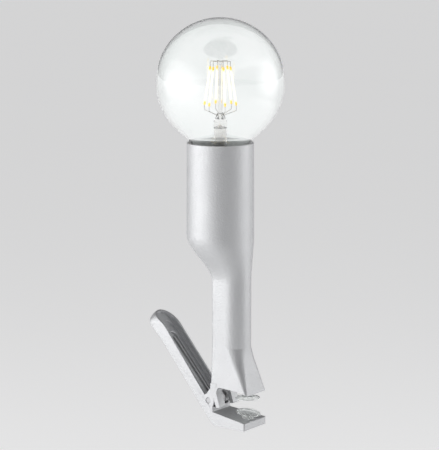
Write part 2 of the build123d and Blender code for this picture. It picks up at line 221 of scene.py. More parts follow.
class Effects:
    """Shader groups that several finishes share, each built once."""

    _made: dict[str, bpy.types.NodeTree] = {}

    @classmethod
    def _start(cls, name: str, knob: str, value: float,
               *masks: str) -> tuple[Nodes, bpy.types.Node, bpy.types.Node]:
        """Starts a group that reads a vector and one number, and puts out numbers.

        Args:
            name: the group's name.
            knob: the number's own name.
            value: the number until a material sets it.
            masks: the names of what the group puts out.

        Returns:
            The group's builder, and its input and output nodes.
        """
        tree = bpy.data.node_groups.new(name, "ShaderNodeTree")
        tree.interface.new_socket("Vector", in_out="INPUT", socket_type="NodeSocketVector")
        number = tree.interface.new_socket(knob, in_out="INPUT", socket_type="NodeSocketFloat")
        number.default_value = value
        for mask in masks:
            tree.interface.new_socket(mask, in_out="OUTPUT", socket_type="NodeSocketFloat")
        nodes = Nodes(tree)
        return nodes, nodes.add("NodeGroupInput"), nodes.add("NodeGroupOutput")

    @classmethod
    def grain(cls) -> bpy.types.NodeTree:
        """A fine pebbled grain with a sparkle mask, as powder coat and moulded plastic have.

        Returns:
            The group.
        """
        if "grain" not in cls._made:
            nodes, source, sink = cls._start("fine grain", "Scale", 1500.0, "Height", "Sparkle")
            place, scale = source.outputs["Vector"], source.outputs["Scale"]
            pebbles = nodes.add("ShaderNodeTexVoronoi", {"Vector": place, "Scale": scale})
            pebbles.feature = "SMOOTH_F1"
            cloud = nodes.add("ShaderNodeTexNoise", {"Vector": place, "Detail": 3.0,
                                                     "Scale": nodes.math("MULTIPLY", scale, 0.6)})
            height = nodes.math("ADD", nodes.math("MULTIPLY", pebbles.outputs["Distance"], 0.6),
                                cloud.outputs["Fac"])
            flakes = nodes.add("ShaderNodeTexWhiteNoise", {"Vector": pebbles.outputs["Position"]},
                               noise_dimensions="3D")
            nodes.join(height, sink.inputs["Height"])
            nodes.join(flakes.outputs["Value"], sink.inputs["Sparkle"])
            cls._made["grain"] = nodes.tree
        return cls._made["grain"]

    @classmethod
    def smudge(cls) -> bpy.types.NodeTree:
        """Broad soft patches, as handling and uneven spraying leave.

        Returns:
            The group.
        """
        if "smudge" not in cls._made:
            nodes, source, sink = cls._start("handling smudge", "Scale", 40.0, "Mask")
            noise = nodes.add("ShaderNodeTexNoise", {"Vector": source.outputs["Vector"], "Detail": 4.0,
                                                     "Roughness": 0.6, "Scale": source.outputs["Scale"]})
            mask = nodes.spread(noise.outputs["Fac"], 0.0, 1.0, start=0.36, end=0.66)
            nodes.join(mask, sink.inputs["Mask"])
            cls._made["smudge"] = nodes.tree
        return cls._made["smudge"]

    @classmethod
    def dust(cls) -> bpy.types.NodeTree:
        """A thin fall of dust on what faces up.

        Returns:
            The group.
        """
        if "dust" not in cls._made:
            nodes, source, sink = cls._start("settled dust", "Amount", 0.1, "Mask")
            facing = nodes.add("ShaderNodeSeparateXYZ",
                               {"Vector": nodes.add("ShaderNodeNewGeometry").outputs["Normal"]})
            upward = nodes.spread(facing.outputs["Z"], 0.0, 1.0, start=0.35, end=0.95)
            specks = nodes.add("ShaderNodeTexNoise", {"Vector": source.outputs["Vector"], "Scale": 700.0,
                                                      "Detail": 2.0})
            caught = nodes.spread(specks.outputs["Fac"], 0.2, 1.0, start=0.4, end=0.62)
            held = nodes.math("MULTIPLY", upward, caught)
            mask = nodes.math("MULTIPLY", held, source.outputs["Amount"])
            nodes.join(mask, sink.inputs["Mask"])
            cls._made["dust"] = nodes.tree
        return cls._made["dust"]

    @classmethod
    def marks(cls) -> bpy.types.NodeTree:
        """Fine tool lines across a stretched vector.

        Returns:
            The group.
        """
        if "marks" not in cls._made:
            nodes, source, sink = cls._start("tool marks", "Scale", 900.0, "Height")
            lines = nodes.add("ShaderNodeTexNoise", {"Vector": source.outputs["Vector"], "Detail": 5.0,
                                                     "Roughness": 0.7, "Scale": source.outputs["Scale"]})
            nodes.join(lines.outputs["Fac"], sink.inputs["Height"])
            cls._made["marks"] = nodes.tree
        return cls._made["marks"]


class Finish:
    """What every finish shares: a material with its surface shader joined up."""

    name: str

    def start(self) -> tuple[bpy.types.Material, Nodes, bpy.types.Node]:
        """Starts the material.

        Returns:
            The material, its node builder and its surface shader.
        """
        material = bpy.data.materials.new(self.name)
        material.use_nodes = True
        material.node_tree.nodes.clear()
        nodes = Nodes(material.node_tree)
        shader = nodes.add("ShaderNodeBsdfPrincipled")
        nodes.add("ShaderNodeOutputMaterial", {"Surface": shader.outputs["BSDF"]})
        return material, nodes, shader

    @staticmethod
    def group(nodes: Nodes, tree: bpy.types.NodeTree, vector: bpy.types.NodeSocket,
              **values: float) -> bpy.types.Node:
        """Places a shared effect.

        Args:
            nodes: the material's builder.
            tree: the effect.
            vector: the coordinates that it reads.
            values: the effect's own numbers.

        Returns:
            The group's node.
        """
        node = nodes.add("ShaderNodeGroup", node_tree=tree)
        nodes.join(vector, node.inputs["Vector"])
        for label, value in values.items():
            node.inputs[label].default_value = value
        return node

    @staticmethod
    def bump(nodes: Nodes, shader: bpy.types.Node, height: bpy.types.NodeSocket, strength: float,
             distance: float) -> None:
        """Joins a height to the shader's normal.

        Args:
            nodes: the material's builder.
            shader: the surface shader.
            height: the height's output.
            strength: share of the effect that shows.
            distance: depth in metres.
        """
        node = nodes.add("ShaderNodeBump", {"Height": height, "Strength": strength, "Distance": distance})
        nodes.join(node.outputs["Normal"], shader.inputs["Normal"])


@dataclass(frozen=True)
class SilverPaint(Finish):
    """A fine-textured metallic powder coat."""

    name: str = "silver_paint"
    light: Colour = (0.76, 0.765, 0.775)
    shade: Colour = (0.38, 0.385, 0.395)
    dust: Colour = (0.5, 0.5, 0.49)

    def make(self) -> bpy.types.Material:
        """Builds the material.

        Returns:
            The material.
        """
        material, nodes, shader = self.start()
        place = nodes.place()
        grain = self.group(nodes, Effects.grain(), place, Scale=1100.0)
        smudge = self.group(nodes, Effects.smudge(), place, Scale=55.0)
        dust = self.group(nodes, Effects.dust(), place, Amount=0.12)
        flaked = nodes.blend(grain.outputs["Sparkle"], self.shade, self.light)
        dusty = nodes.blend(dust.outputs["Mask"], flaked, self.dust)
        nodes.join(dusty, shader.inputs["Base Color"])
        rough = nodes.math("ADD", nodes.spread(grain.outputs["Sparkle"], 0.46, 0.6),
                           nodes.math("MULTIPLY", smudge.outputs["Mask"], 0.04))
        nodes.join(rough, shader.inputs["Roughness"])
        shader.inputs["Metallic"].default_value = 0.82
        shader.inputs["Coat Weight"].default_value = 0.08
        shader.inputs["Coat Roughness"].default_value = 0.3
        self.bump(nodes, shader, grain.outputs["Height"], strength=0.8, distance=0.00022)
        return material


@dataclass(frozen=True)
class WorkedMetal(Finish):
    """A bare or plated metal with tool marks and some tarnish."""

    name: str
    colour: Colour
    tarnish: Colour
    roughness: float = 0.28
    lay: Lay = Lay.ROUND
    tarnish_share: float = 0.25

    def make(self) -> bpy.types.Material:
        """Builds the material.

        Returns:
            The material.
        """
        material, nodes, shader = self.start()
        lines = self.group(nodes, Effects.marks(), nodes.place(self.lay.value), Scale=2600.0)
        smudge = self.group(nodes, Effects.smudge(), nodes.place(), Scale=160.0)
        share = nodes.math("MULTIPLY", smudge.outputs["Mask"], self.tarnish_share)
        nodes.join(nodes.blend(share, self.colour, self.tarnish), shader.inputs["Base Color"])
        rough = nodes.math("ADD", nodes.spread(lines.outputs["Height"], self.roughness - 0.06,
                                               self.roughness + 0.06, start=0.3, end=0.7),
                           nodes.math("MULTIPLY", smudge.outputs["Mask"], 0.08))
        nodes.join(rough, shader.inputs["Roughness"])
        shader.inputs["Metallic"].default_value = 1.0
        self.bump(nodes, shader, lines.outputs["Height"], strength=0.25, distance=0.00002)
        return material


@dataclass(frozen=True)
class ClearRubber(Finish):
    """Clear soft silicone with a faint haze."""

    name: str = "clear_silicone"
    colour: Colour = (0.93, 0.95, 0.94)
    haze: Colour = (0.86, 0.88, 0.87)

    def make(self) -> bpy.types.Material:
        """Builds the material.

        Returns:
            The material.
        """
        material, nodes, shader = self.start()
        place = nodes.place()
        smudge = self.group(nodes, Effects.smudge(), place, Scale=220.0)
        grain = self.group(nodes, Effects.grain(), place, Scale=1300.0)
        nodes.join(nodes.blend(smudge.outputs["Mask"], self.colour, self.haze),
                   shader.inputs["Base Color"])
        nodes.join(nodes.spread(smudge.outputs["Mask"], 0.05, 0.16), shader.inputs["Roughness"])
        shader.inputs["IOR"].default_value = 1.41
        shader.inputs["Transmission Weight"].default_value = 0.74
        shader.inputs["Coat Weight"].default_value = 1.0
        shader.inputs["Coat Roughness"].default_value = 0.04
        self.bump(nodes, shader, grain.outputs["Height"], strength=0.1, distance=0.00003)
        return material


@dataclass(frozen=True)
class BlownGlass(Finish):
    """Clear glass, very slightly uneven."""

    name: str = "blown_glass"
    colour: Colour = (0.975, 0.985, 0.98)
    film: Colour = (0.95, 0.97, 0.96)
    waviness: float = 0.06

    def make(self) -> bpy.types.Material:
        """Builds the material.

        Returns:
            The material.
        """
        material, nodes, shader = self.start()
        place = nodes.place()
        film = self.group(nodes, Effects.smudge(), place, Scale=24.0)
        waves = nodes.add("ShaderNodeTexNoise", {"Vector": place, "Scale": 45.0, "Detail": 1.0})
        nodes.join(nodes.blend(film.outputs["Mask"], self.colour, self.film),
                   shader.inputs["Base Color"])
        nodes.join(nodes.spread(film.outputs["Mask"], 0.0, 0.012), shader.inputs["Roughness"])
        shader.inputs["IOR"].default_value = 1.5
        shader.inputs["Transmission Weight"].default_value = 1.0
        shader.inputs["Coat Weight"].default_value = 0.55
        shader.inputs["Coat Roughness"].default_value = 0.03
        shader.inputs["Coat IOR"].default_value = 1.62
        self.bump(nodes, shader, waves.outputs["Fac"], strength=self.waviness, distance=0.0004)
        return material


@dataclass(frozen=True)
class Porcelain(Finish):
    """Glazed off-white ceramic with small iron specks."""

    name: str = "porcelain"
    colour: Colour = (0.8, 0.78, 0.72)
    speck: Colour = (0.42, 0.34, 0.26)

    def make(self) -> bpy.types.Material:
        """Builds the material.

        Returns:
            The material.
        """
        material, nodes, shader = self.start()
        place = nodes.place()
        smudge = self.group(nodes, Effects.smudge(), place, Scale=90.0)
        specks = nodes.add("ShaderNodeTexNoise", {"Vector": place, "Scale": 900.0, "Detail": 1.0})
        share = nodes.spread(specks.outputs["Fac"], 0.0, 0.5, start=0.7, end=0.8)
        nodes.join(nodes.blend(share, self.colour, self.speck), shader.inputs["Base Color"])
        nodes.join(nodes.spread(smudge.outputs["Mask"], 0.12, 0.24), shader.inputs["Roughness"])
        shader.inputs["Coat Weight"].default_value = 0.6
        shader.inputs["Coat Roughness"].default_value = 0.06
        self.bump(nodes, shader, smudge.outputs["Mask"], strength=0.15, distance=0.0002)
        return material


@dataclass(frozen=True)
class Moulded(Finish):
    """Moulded plastic or fused glass with a fine grain."""

    name: str
    colour: Colour
    worn: Colour
    roughness: float = 0.5
    grain_depth: float = 0.00004
    dust: Colour = (0.4, 0.39, 0.37)

    def make(self) -> bpy.types.Material:
        """Builds the material.

        Returns:
            The material.
        """
        material, nodes, shader = self.start()
        place = nodes.place()
        grain = self.group(nodes, Effects.grain(), place, Scale=1700.0)
        smudge = self.group(nodes, Effects.smudge(), place, Scale=180.0)
        dust = self.group(nodes, Effects.dust(), place, Amount=0.25)
        worn = nodes.blend(smudge.outputs["Mask"], self.colour, self.worn)
        nodes.join(nodes.blend(dust.outputs["Mask"], worn, self.dust),
                   shader.inputs["Base Color"])
        rough = nodes.spread(grain.outputs["Sparkle"], self.roughness - 0.06, self.roughness + 0.06)
        nodes.join(rough, shader.inputs["Roughness"])
        self.bump(nodes, shader, grain.outputs["Height"], strength=0.4, distance=self.grain_depth)
        return material


@dataclass(frozen=True)
class CircuitBoard(Finish):
    """A varnished board with straight copper runs under the varnish."""

    name: str = "circuit_board"
    varnish: Colour = (0.03, 0.16, 0.07)
    track: Colour = (0.09, 0.3, 0.14)

    def make(self) -> bpy.types.Material:
        """Builds the material.

        Returns:
            The material.
        """
        material, nodes, shader = self.start()
        place = nodes.place()
        runs = nodes.add("ShaderNodeTexBrick", {"Vector": place, "Scale": 300.0, "Mortar Size": 0.04,
                                                "Color1": (0, 0, 0, 1), "Color2": (0.1, 0.1, 0.1, 1),
                                                "Mortar": (1, 1, 1, 1)})
        smudge = self.group(nodes, Effects.smudge(), place, Scale=300.0)
        nodes.join(nodes.blend(runs.outputs["Fac"], self.varnish, self.track),
                   shader.inputs["Base Color"])
        nodes.join(nodes.spread(smudge.outputs["Mask"], 0.2, 0.4), shader.inputs["Roughness"])
        self.bump(nodes, shader, runs.outputs["Fac"], strength=0.5, distance=0.00005)
        return material


@dataclass(frozen=True)
class LitStrip(Finish):
    """A phosphor-coated strip, white where it is lit and amber at both ends."""

    low: float
    high: float
    name: str = "lit_filament"
    lit: Colour = (1.0, 0.93, 0.78)
    gain: float = 1.3
    dim: Colour = (0.9, 0.55, 0.04)
    amber: Colour = (1.0, 0.62, 0.06)
    coat: Colour = (0.95, 0.75, 0.35)
    end_length: float = 1.6 * MM

    def make(self) -> bpy.types.Material:
        """Builds the material.

        Returns:
            The material.
        """
        material, nodes, shader = self.start()
        place = nodes.place()
        height = nodes.add("ShaderNodeSeparateXYZ", {"Vector": place}).outputs["Z"]
        from_low = nodes.spread(height, 0.4, 1.0, self.low, self.low + self.end_length)
        from_high = nodes.spread(height, 1.0, 0.4, self.high - self.end_length, self.high)
        inner = nodes.math("MULTIPLY", from_low, from_high)
        grain = self.group(nodes, Effects.grain(), place, Scale=900.0)
        chips = nodes.spread(grain.outputs["Sparkle"], 0.85, 1.0)
        share = nodes.math("MULTIPLY", inner, chips)
        glow = nodes.blend(share, self.dim, tuple(self.gain * c for c in self.lit))
        nodes.join(glow, shader.inputs["Emission Color"])
        shader.inputs["Emission Strength"].default_value = 1.0
        nodes.join(nodes.blend(inner, self.amber, self.coat), shader.inputs["Base Color"])
        nodes.join(nodes.spread(grain.outputs["Height"], 0.35, 0.55), shader.inputs["Roughness"])
        self.bump(nodes, shader, grain.outputs["Height"], strength=0.3, distance=0.0001)
        return material


@dataclass(frozen=True)
class AmberTip(Finish):
    """The unlit phosphor bead over each end of a strip, with a painted glow for the light that reaches it
    from the lit strip beside.
    """

    name: str = "amber_tip"
    deep: Colour = (0.85, 0.5, 0.02)
    pale: Colour = (1.0, 0.72, 0.12)
    # Strength of the painted glow that stands in for the strip's light falling on the bead.
    glow: float = 0.45

    def make(self) -> bpy.types.Material:
        """Builds the material.

        Returns:
            The material.
        """
        material, nodes, shader = self.start()
        place = nodes.place()
        grain = self.group(nodes, Effects.grain(), place, Scale=1100.0)
        tint = nodes.blend(grain.outputs["Sparkle"], self.deep, self.pale)
        nodes.join(tint, shader.inputs["Base Color"])
        nodes.join(tint, shader.inputs["Emission Color"])
        # Painted light: the tint's emission is a painted glow for light from the neighbouring strip, not a
        # light of the bead's own.
        shader.inputs["Emission Strength"].default_value = self.glow
        nodes.join(nodes.spread(grain.outputs["Height"], 0.3, 0.5), shader.inputs["Roughness"])
        self.bump(nodes, shader, grain.outputs["Height"], strength=0.3, distance=0.0001)
        return material


@dataclass(frozen=True)
class FloorPaint(Finish):
    """Matt pale paint, faintly cloudy and lit a little from within."""

    name: str = "floor"
    dull: Colour = (0.79, 0.79, 0.79)
    pale: Colour = (0.81, 0.81, 0.81)
    glow: float = 0.46

    def make(self) -> bpy.types.Material:
        """Builds the material.

        Returns:
            The material.
        """
        material, nodes, shader = self.start()
        cloud = nodes.add("ShaderNodeTexNoise", {"Vector": nodes.place(), "Scale": 3.0, "Detail": 3.0})
        nodes.join(nodes.blend(cloud.outputs["Fac"], self.dull, self.pale), shader.inputs["Base Color"])
        shader.inputs["Roughness"].default_value = 0.8
        shader.inputs["Emission Color"].default_value = (1.0, 1.0, 1.0, 1.0)
        shader.inputs["Emission Strength"].default_value = self.glow
        return material


class Palette:
    """Every finish of the lamp by its own name."""

    def __init__(self) -> None:
        """Builds the materials."""
        strip_low, strip_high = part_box("bulb_filaments")
        finishes = {
            "silver_paint": SilverPaint(),
            "steel": WorkedMetal("zinc_steel", (0.6, 0.61, 0.62), (0.36, 0.35, 0.33), 0.3),
            "pin_steel": WorkedMetal("pin_steel", (0.4, 0.4, 0.41), (0.3, 0.3, 0.3), 0.3, Lay.ALONG_Y),
            "spring_steel": WorkedMetal("spring_steel", (0.8, 0.8, 0.81), (0.55, 0.54, 0.52), 0.2,
                                        Lay.ALONG_Y),
            "fine_wire": WorkedMetal("fine_wire", (0.62, 0.6, 0.57), (0.4, 0.36, 0.3), 0.3),
            "brass": WorkedMetal("brass", (0.78, 0.58, 0.26), (0.42, 0.28, 0.13), 0.28),
            "bush_brass": WorkedMetal("bush_brass", (0.76, 0.57, 0.27), (0.4, 0.27, 0.12), 0.3, Lay.ALONG_Y),
            "nickel": WorkedMetal("nickel_cap", (0.66, 0.63, 0.58), (0.42, 0.38, 0.32), 0.22),
            "solder": WorkedMetal("solder", (0.5, 0.5, 0.5), (0.3, 0.3, 0.3), 0.42),
            "clear_silicone": ClearRubber(),
            "glass": BlownGlass(),
            "stem_glass": BlownGlass("stem_glass", (0.91, 0.895, 0.885), (0.86, 0.845, 0.835), 0.2),
            "ceramic": Porcelain(),
            "black_plastic": Moulded("black_plastic", (0.02, 0.02, 0.021), (0.035, 0.035, 0.036)),
            "black_glass": Moulded("black_glass", (0.02, 0.018, 0.03), (0.03, 0.03, 0.04), 0.16, 0.00001),
            "circuit_board": CircuitBoard(),
            "filament": LitStrip(strip_low.z, strip_high.z),
            "amber_tip": AmberTip(),
        }
        self.materials = {label: finish.make() for label, finish in finishes.items()}

    def dress(self, piece: bpy.types.Object, label: str) -> None:
        """Gives a piece its finish.

        Args:
            piece: the object.
            label: the finish's name here.
        """
        if piece.material_slots:
            for slot in piece.material_slots:
                slot.material = self.materials[label]
        else:
            piece.data.materials.append(self.materials[label])


# ---------------------------------------------------------------- mesh tools


class Shape:
    """A mesh in the making, with the few moves that the pieces share."""

    def __init__(self) -> None:
        """Starts empty."""
        self.bm = bmesh.new()

    def arc(self, tip: bmesh.types.BMVert, centre: Vector, angle: float,
            steps: int) -> bmesh.types.BMVert:
        """Carries a profile on along an arc in the XZ plane.

        Args:
            tip: the profile's last point.
            centre: the arc's centre.
            angle: how far it turns about +Y.
            steps: runs along the arc.

        Returns:
            The new last point.
        """
        done = bmesh.ops.spin(self.bm, geom=[tip], cent=centre, axis=(0, 1, 0), dvec=(0, 0, 0),
                              angle=angle, steps=steps, use_merge=False)
        return next(v for v in done["geom_last"] if isinstance(v, bmesh.types.BMVert))

    def runs(self, tip: bmesh.types.BMVert, corners: list[Vector]) -> bmesh.types.BMVert:
        """Carries a profile on along straight runs.

        Args:
            tip: the profile's last point.
            corners: the points that it goes to.

        Returns:
            The new last point.
        """
        for corner in corners:
            tip = bmesh.ops.extrude_vert_indiv(self.bm, verts=[tip])["verts"][0]
            tip.co = corner
        return tip

    def lathe(self, centre: Vector, steps: int) -> None:
        """Turns every edge so far about an upright axis and closes the seam and poles.

        Args:
            centre: a point on the axis.
            steps: faces round the axis.
        """
        bmesh.ops.spin(self.bm, geom=self.bm.verts[:] + self.bm.edges[:], cent=centre, axis=(0, 0, 1),
                       dvec=(0, 0, 0), angle=math.tau, steps=steps, use_merge=True)
        self.tidy()

    def tidy(self) -> None:
        """Merges doubles and turns every face outwards."""
        bmesh.ops.remove_doubles(self.bm, verts=self.bm.verts, dist=TOUCH)
        bmesh.ops.dissolve_degenerate(self.bm, edges=self.bm.edges, dist=TOUCH / 10)
        bmesh.ops.recalc_face_normals(self.bm, faces=self.bm.faces)

    def sweep(self, face: bmesh.types.BMFace, run: Vector, taper: float = 1.0) -> bmesh.types.BMFace:
        """Extrudes an end face.

        Args:
            face: the face to move on.
            run: how far and which way.
            taper: size of the new end against the old.

        Returns:
            The new end face.
        """
        done = bmesh.ops.extrude_face_region(self.bm, geom=[face])
        new = next(g for g in done["geom"] if isinstance(g, bmesh.types.BMFace))
        bmesh.ops.translate(self.bm, verts=new.verts[:], vec=run)
        if taper != 1.0:
            middle = new.calc_center_median()
            bmesh.ops.scale(self.bm, verts=new.verts[:], vec=(taper,) * 3,
                            space=Matrix.Translation(-middle))
        if face.is_valid:
            bmesh.ops.delete(self.bm, geom=[face], context="FACES_ONLY")
        return new

    def finish(self, name: str) -> bpy.types.Object:
        """Makes the object.

        Args:
            name: the piece's name.

        Returns:
            The object, at the origin and smooth-shaded.
        """
        mesh = bpy.data.meshes.new(name)
        self.bm.to_mesh(mesh)
        self.bm.free()
        for polygon in mesh.polygons:
            polygon.use_smooth = True
        piece = bpy.data.objects.new(name, mesh)
        bpy.context.scene.collection.objects.link(piece)
        return piece


# ---------------------------------------------------------------- sub-assemblies


@dataclass
class Assembly:
    """What every sub-assembly has: the palette that dresses it."""

    palette: Palette

    def dress_nodes(self, nodes: dict[str, bpy.types.Object], finishes: dict[str, str]) -> None:
        """Dresses the frame's own nodes.

        Args:
            nodes: the frame's nodes by name.
            finishes: node name to finish.
        """
        for name, label in finishes.items():
            self.palette.dress(nodes[name], label)
            LOG.info("%s dressed in %s", name, label)


@dataclass
class ClipBody(Assembly):
    """The cast body, its squeeze lever, the pin and bushes, and the soft pads."""

    pad_steps: int = 64
    pad_rim: float = 9.2 * MM
    pad_base: float = 4.6 * MM
    pad_waist: float = 3.3 * MM
    pad_stem: float = 1.5 * MM
    stem_length: float = 3.0 * MM
    lip: float = 0.45 * MM
    lip_turn: float = math.radians(235)
    lip_steps: int = 8
    upper_height: float = 7.0 * MM
    lower_height: float = 4.5 * MM
    jaw_tilt: float = math.atan2(4.5, 30.3)
    edge_radius: float = 0.25 * MM
    edge_steps: int = 2
    edge_angle: float = math.radians(38)

    def build(self, nodes: dict[str, bpy.types.Object]) -> None:
        """Dresses the metal and makes the pads.

        Args:
            nodes: the frame's nodes by name.
        """
        self.dress_nodes(nodes, {"body_casting": "silver_paint", "lever": "silver_paint",
                                 "hinge_pin": "pin_steel", "hinge_bushes": "bush_brass",
                                 "cord_inlet_bush": "black_plastic"})
        self.soften_edges(nodes["lever"])
        self.make_pads()

    def soften_edges(self, piece: bpy.types.Object) -> None:
        """Rounds a casting's sharp edges a little, as its paint does.

        Args:
            piece: the casting.
        """
        weld = piece.modifiers.new("weld", "WELD")
        weld.merge_threshold = TOUCH
        round_over = piece.modifiers.new("round over", "BEVEL")
        round_over.width = self.edge_radius
        round_over.segments = self.edge_steps
        round_over.use_clamp_overlap = False
        round_over.limit_method = "ANGLE"
        round_over.angle_limit = self.edge_angle
        round_over.harden_normals = True

    def pad(self, height: float) -> Shape:
        """One pad with its base at the origin and its cup upwards.

        Args:
            height: from the base to the cup's rim.

        Returns:
            The shape.
        """
        def at(out: float, up: float) -> Vector:
            """A point of the profile."""
            return Vector((out, 0, up))

        base, waist = self.pad_base, self.pad_waist
        waist_top = height - 2.3 * MM
        rim = at(self.pad_rim - self.lip, height - self.lip)
        outer = [at(self.pad_stem, -self.stem_length), at(self.pad_stem, 0), at(base - 0.2 * MM, 0),
                 at(base, 0.25 * MM), at(base, 0.8 * MM), at(base - 0.3 * MM, 1.1 * MM),
                 at(waist + 0.2 * MM, 1.4 * MM), at(waist, 1.8 * MM), at(waist, waist_top - 0.3 * MM),
                 at(waist + 0.5 * MM, waist_top + 0.1 * MM), at(self.pad_rim - 1.6 * MM, height - 1.0 * MM),
                 rim - at(0, self.lip)]
        cup = [at(self.pad_rim - 2.2 * MM, height - 0.85 * MM), at(waist + 1.5 * MM, height - 1.5 * MM),
               at(waist, height - 1.8 * MM), at(0, height - 1.85 * MM)]
        shape = Shape()
        tip = shape.runs(shape.bm.verts.new(at(0, -self.stem_length)), outer)
        tip = shape.arc(tip, rim, -self.lip_turn, self.lip_steps)
        shape.runs(tip, cup)
        shape.lathe(Vector((0, 0, 0)), self.pad_steps)
        return shape

    def make_pads(self) -> None:
        """The two pads, each in place of its node."""
        low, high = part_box("upper_pad")
        middle = (low + high) / 2
        shape = self.pad(self.upper_height)
        seat = Vector((middle.x, middle.y, high.z - self.stem_length))
        bmesh.ops.transform(shape.bm, verts=shape.bm.verts,
                            matrix=Matrix.Translation(seat) @ Matrix.Rotation(math.pi, 4, "X"))
        self.settle(shape, "upper_grip_pad", Body.LAMP, "upper_pad")
        low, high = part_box("lower_pad")
        shape = self.pad(self.lower_height)
        bmesh.ops.transform(shape.bm, verts=shape.bm.verts, matrix=Matrix.Rotation(self.jaw_tilt, 4, "Y"))
        tops = max(v.co.z for v in shape.bm.verts)
        sides = max(v.co.x for v in shape.bm.verts)
        seat = Vector((high.x - sides, 0, high.z - tops))
        bmesh.ops.translate(shape.bm, verts=shape.bm.verts, vec=seat)
        self.settle(shape, "lower_grip_pad", Body.LEVER, "lower_pad")

    def settle(self, shape: Shape, name: str, body: Body, node: str) -> None:
        """Finishes a pad.

        Args:
            shape: the pad's shape, in place.
            name: the piece's name.
            body: what it moves with.
            node: the node that it stands for.
        """
        piece = shape.finish(name)
        piece.visible_shadow = False
        self.palette.dress(piece, "clear_silicone")
        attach(piece, body.value)
        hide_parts(node)
        LOG.info("%s made", name)


@dataclass
class TorsionSpring(Assembly):
    """The wire spring round the hinge pin, with a leg in the body and a leg in the handle."""

    wire: float = 0.65 * MM
    coil: float = 4.9 * MM
    pitch: float = 1.8 * MM
    turns: int = 4
    lean: float = math.radians(38.3)
    long_leg: float = 57.3 * MM
    short_leg: float = 10.2 * MM
    drift: float = 1.754 * MM
    leg_set: float = 0.6 * MM
    end_taper: float = 0.6
    sides: int = 16
    steps_per_turn: int = 40

    def build(self, hinge: Vector) -> None:
        """Makes the spring in place of its node.

        Args:
            hinge: the hinge pin's middle.
        """
        angle = math.tau * self.turns + math.pi - self.lean
        width = self.pitch * angle / math.tau
        steps = round(self.steps_per_turn * angle / math.tau)
        start = hinge + Vector((self.coil, -width / 2, 0))
        shape = Shape()
        ring = bmesh.ops.create_circle(shape.bm, cap_ends=True, radius=self.wire, segments=self.sides,
                                       matrix=Matrix.Translation(start))
        face = shape.bm.faces[:][0]
        top = shape.sweep(face, Vector((0, 0, self.short_leg - self.wire)))
        shape.sweep(top, Vector((0, 0, self.wire)), self.end_taper)
        edges = [e for e in shape.bm.edges if all(v in ring["verts"] for v in e.verts)]
        done = bmesh.ops.spin(shape.bm, geom=edges, cent=hinge, axis=(0, 1, 0),
                              dvec=(0, width / steps, 0), angle=angle, steps=steps, use_merge=False)
        last = [g for g in done["geom_last"] if isinstance(g, bmesh.types.BMEdge)]
        cap = bmesh.ops.edgeloop_fill(shape.bm, edges=last)["faces"][0]
        up = Vector((-math.sin(self.lean), 0, math.cos(self.lean)))
        back = Vector((-math.cos(self.lean), 0, -math.sin(self.lean)))
        run = up * self.long_leg + back * self.leg_set + Vector((0, -self.drift, 0))
        end = shape.sweep(cap, run)
        shape.sweep(end, run.normalized() * self.wire, self.end_taper)
        shape.tidy()
        piece = shape.finish("torsion_spring_wire")
        self.palette.dress(piece, "spring_steel")
        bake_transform(piece)
        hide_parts("torsion_spring")
        LOG.info("torsion spring made")


